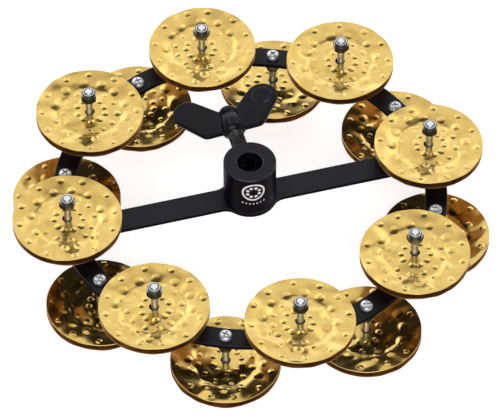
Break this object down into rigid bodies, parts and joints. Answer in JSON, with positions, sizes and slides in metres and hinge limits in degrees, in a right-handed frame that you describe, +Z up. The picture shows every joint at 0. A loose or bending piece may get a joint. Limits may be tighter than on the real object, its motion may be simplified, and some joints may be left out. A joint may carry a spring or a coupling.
{
  "type": "hi-hat tambourine",
  "caption": "Flat steel ring with pairs of hammered brass jingles above and below it, on a crossbar hub that clamps to a vertical pull rod with a wing screw.",
  "frame": {"origin": "on the axis of the hub's rod bore, at the underside of the ring plate", "axes": "+Z up along the rod bore, +X along the crossbar, +Y towards the wing screw"},
  "size_m": [0.2304, 0.2304, 0.0497],
  "materials": {
    "black_coat": "satin black powder coat, fine orange peel",
    "black_gloss": "semi-gloss black lacquer on a casting",
    "zinc_steel": "bright zinc plating",
    "nylon": "dark blue nylon",
    "jingle_brass": "polished, hammered brass"
  },
  "bodies": {
    "frame": {"ring_plate": "black_coat", "hub": "black_coat", "upper_screws": "zinc_steel", "lower_screws": "zinc_steel", "upper_fixing_nuts": "zinc_steel", "lower_fixing_nuts": "zinc_steel", "upper_end_nuts": "zinc_steel", "lower_end_nuts": "zinc_steel", "fixing_nut_inserts": "nylon", "end_nut_inserts": "nylon"},
    "wing_screw": {"wing_screw": "black_gloss"},
    "upper_jingle_1_bottom": {"upper_jingle_1_bottom": "jingle_brass"},
    "upper_jingle_1_top": {"upper_jingle_1_top": "jingle_brass"},
    "upper_jingle_2_bottom": {"upper_jingle_2_bottom": "jingle_brass"},
    "upper_jingle_2_top": {"upper_jingle_2_top": "jingle_brass"},
    "upper_jingle_3_bottom": {"upper_jingle_3_bottom": "jingle_brass"},
    "upper_jingle_3_top": {"upper_jingle_3_top": "jingle_brass"},
    "upper_jingle_4_bottom": {"upper_jingle_4_bottom": "jingle_brass"},
    "upper_jingle_4_top": {"upper_jingle_4_top": "jingle_brass"},
    "upper_jingle_5_bottom": {"upper_jingle_5_bottom": "jingle_brass"},
    "upper_jingle_5_top": {"upper_jingle_5_top": "jingle_brass"},
    "upper_jingle_6_bottom": {"upper_jingle_6_bottom": "jingle_brass"},
    "upper_jingle_6_top": {"upper_jingle_6_top": "jingle_brass"},
    "upper_jingle_7_bottom": {"upper_jingle_7_bottom": "jingle_brass"},
    "upper_jingle_7_top": {"upper_jingle_7_top": "jingle_brass"},
    "upper_jingle_8_bottom": {"upper_jingle_8_bottom": "jingle_brass"},
    "upper_jingle_8_top": {"upper_jingle_8_top": "jingle_brass"},
    "lower_jingle_1_bottom": {"lower_jingle_1_bottom": "jingle_brass"},
    "lower_jingle_1_top": {"lower_jingle_1_top": "jingle_brass"},
    "lower_jingle_2_bottom": {"lower_jingle_2_bottom": "jingle_brass"},
    "lower_jingle_2_top": {"lower_jingle_2_top": "jingle_brass"},
    "lower_jingle_3_bottom": {"lower_jingle_3_bottom": "jingle_brass"},
    "lower_jingle_3_top": {"lower_jingle_3_top": "jingle_brass"},
    "lower_jingle_4_bottom": {"lower_jingle_4_bottom": "jingle_brass"},
    "lower_jingle_4_top": {"lower_jingle_4_top": "jingle_brass"},
    "lower_jingle_5_bottom": {"lower_jingle_5_bottom": "jingle_brass"},
    "lower_jingle_5_top": {"lower_jingle_5_top": "jingle_brass"},
    "lower_jingle_6_bottom": {"lower_jingle_6_bottom": "jingle_brass"},
    "lower_jingle_6_top": {"lower_jingle_6_top": "jingle_brass"},
    "lower_jingle_7_bottom": {"lower_jingle_7_bottom": "jingle_brass"},
    "lower_jingle_7_top": {"lower_jingle_7_top": "jingle_brass"},
    "lower_jingle_8_bottom": {"lower_jingle_8_bottom": "jingle_brass"},
    "lower_jingle_8_top": {"lower_jingle_8_top": "jingle_brass"}
  },
  "joints": [
    {"name": "wing_screw_turn", "type": "hinge", "parent": "frame", "child": "wing_screw", "pos_m": [0, 0.0126, 0.0165], "axis": [0, 1, 0], "range_deg": [-1620, 1080]},
    {"name": "upper_jingle_1_bottom_slide", "type": "slide", "parent": "frame", "child": "upper_jingle_1_bottom", "axis": [0, 0, 1], "range_m": [0, 0.0044]},
    {"name": "upper_jingle_1_top_slide", "type": "slide", "parent": "upper_jingle_1_bottom", "child": "upper_jingle_1_top", "axis": [0, 0, 1], "range_m": [0, 0.0044]},
    {"name": "upper_jingle_2_bottom_slide", "type": "slide", "parent": "frame", "child": "upper_jingle_2_bottom", "axis": [0, 0, 1], "range_m": [0, 0.0044]},
    {"name": "upper_jingle_2_top_slide", "type": "slide", "parent": "upper_jingle_2_bottom", "child": "upper_jingle_2_top", "axis": [0, 0, 1], "range_m": [0, 0.0044]},
    {"name": "upper_jingle_3_bottom_slide", "type": "slide", "parent": "frame", "child": "upper_jingle_3_bottom", "axis": [0, 0, 1], "range_m": [0, 0.0044]},
    {"name": "upper_jingle_3_top_slide", "type": "slide", "parent": "upper_jingle_3_bottom", "child": "upper_jingle_3_top", "axis": [0, 0, 1], "range_m": [0, 0.0044]},
    {"name": "upper_jingle_4_bottom_slide", "type": "slide", "parent": "frame", "child": "upper_jingle_4_bottom", "axis": [0, 0, 1], "range_m": [0, 0.0044]},
    {"name": "upper_jingle_4_top_slide", "type": "slide", "parent": "upper_jingle_4_bottom", "child": "upper_jingle_4_top", "axis": [0, 0, 1], "range_m": [0, 0.0044]},
    {"name": "upper_jingle_5_bottom_slide", "type": "slide", "parent": "frame", "child": "upper_jingle_5_bottom", "axis": [0, 0, 1], "range_m": [0, 0.0044]},
    {"name": "upper_jingle_5_top_slide", "type": "slide", "parent": "upper_jingle_5_bottom", "child": "upper_jingle_5_top", "axis": [0, 0, 1], "range_m": [0, 0.0044]},
    {"name": "upper_jingle_6_bottom_slide", "type": "slide", "parent": "frame", "child": "upper_jingle_6_bottom", "axis": [0, 0, 1], "range_m": [0, 0.0044]},
    {"name": "upper_jingle_6_top_slide", "type": "slide", "parent": "upper_jingle_6_bottom", "child": "upper_jingle_6_top", "axis": [0, 0, 1], "range_m": [0, 0.0044]},
    {"name": "upper_jingle_7_bottom_slide", "type": "slide", "parent": "frame", "child": "upper_jingle_7_bottom", "axis": [0, 0, 1], "range_m": [0, 0.0044]},
    {"name": "upper_jingle_7_top_slide", "type": "slide", "parent": "upper_jingle_7_bottom", "child": "upper_jingle_7_top", "axis": [0, 0, 1], "range_m": [0, 0.0044]},
    {"name": "upper_jingle_8_bottom_slide", "type": "slide", "parent": "frame", "child": "upper_jingle_8_bottom", "axis": [0, 0, 1], "range_m": [0, 0.0044]},
    {"name": "upper_jingle_8_top_slide", "type": "slide", "parent": "upper_jingle_8_bottom", "child": "upper_jingle_8_top", "axis": [0, 0, 1], "range_m": [0, 0.0044]},
    {"name": "lower_jingle_1_bottom_slide", "type": "slide", "parent": "frame", "child": "lower_jingle_1_bottom", "axis": [0, 0, 1], "range_m": [0, 0.0039]},
    {"name": "lower_jingle_1_top_slide", "type": "slide", "parent": "lower_jingle_1_bottom", "child": "lower_jingle_1_top", "axis": [0, 0, 1], "range_m": [0, 0.0039]},
    {"name": "lower_jingle_2_bottom_slide", "type": "slide", "parent": "frame", "child": "lower_jingle_2_bottom", "axis": [0, 0, 1], "range_m": [0, 0.0039]},
    {"name": "lower_jingle_2_top_slide", "type": "slide", "parent": "lower_jingle_2_bottom", "child": "lower_jingle_2_top", "axis": [0, 0, 1], "range_m": [0, 0.0039]},
    {"name": "lower_jingle_3_bottom_slide", "type": "slide", "parent": "frame", "child": "lower_jingle_3_bottom", "axis": [0, 0, 1], "range_m": [0, 0.0039]},
    {"name": "lower_jingle_3_top_slide", "type": "slide", "parent": "lower_jingle_3_bottom", "child": "lower_jingle_3_top", "axis": [0, 0, 1], "range_m": [0, 0.0039]},
    {"name": "lower_jingle_4_bottom_slide", "type": "slide", "parent": "frame", "child": "lower_jingle_4_bottom", "axis": [0, 0, 1], "range_m": [0, 0.0039]},
    {"name": "lower_jingle_4_top_slide", "type": "slide", "parent": "lower_jingle_4_bottom", "child": "lower_jingle_4_top", "axis": [0, 0, 1], "range_m": [0, 0.0039]},
    {"name": "lower_jingle_5_bottom_slide", "type": "slide", "parent": "frame", "child": "lower_jingle_5_bottom", "axis": [0, 0, 1], "range_m": [0, 0.0039]},
    {"name": "lower_jingle_5_top_slide", "type": "slide", "parent": "lower_jingle_5_bottom", "child": "lower_jingle_5_top", "axis": [0, 0, 1], "range_m": [0, 0.0039]},
    {"name": "lower_jingle_6_bottom_slide", "type": "slide", "parent": "frame", "child": "lower_jingle_6_bottom", "axis": [0, 0, 1], "range_m": [0, 0.0039]},
    {"name": "lower_jingle_6_top_slide", "type": "slide", "parent": "lower_jingle_6_bottom", "child": "lower_jingle_6_top", "axis": [0, 0, 1], "range_m": [0, 0.0039]},
    {"name": "lower_jingle_7_bottom_slide", "type": "slide", "parent": "frame", "child": "lower_jingle_7_bottom", "axis": [0, 0, 1], "range_m": [0, 0.0039]},
    {"name": "lower_jingle_7_top_slide", "type": "slide", "parent": "lower_jingle_7_bottom", "child": "lower_jingle_7_top", "axis": [0, 0, 1], "range_m": [0, 0.0039]},
    {"name": "lower_jingle_8_bottom_slide", "type": "slide", "parent": "frame", "child": "lower_jingle_8_bottom", "axis": [0, 0, 1], "range_m": [0, 0.0039]},
    {"name": "lower_jingle_8_top_slide", "type": "slide", "parent": "lower_jingle_8_bottom", "child": "lower_jingle_8_top", "axis": [0, 0, 1], "range_m": [0, 0.0039]}
  ]
}
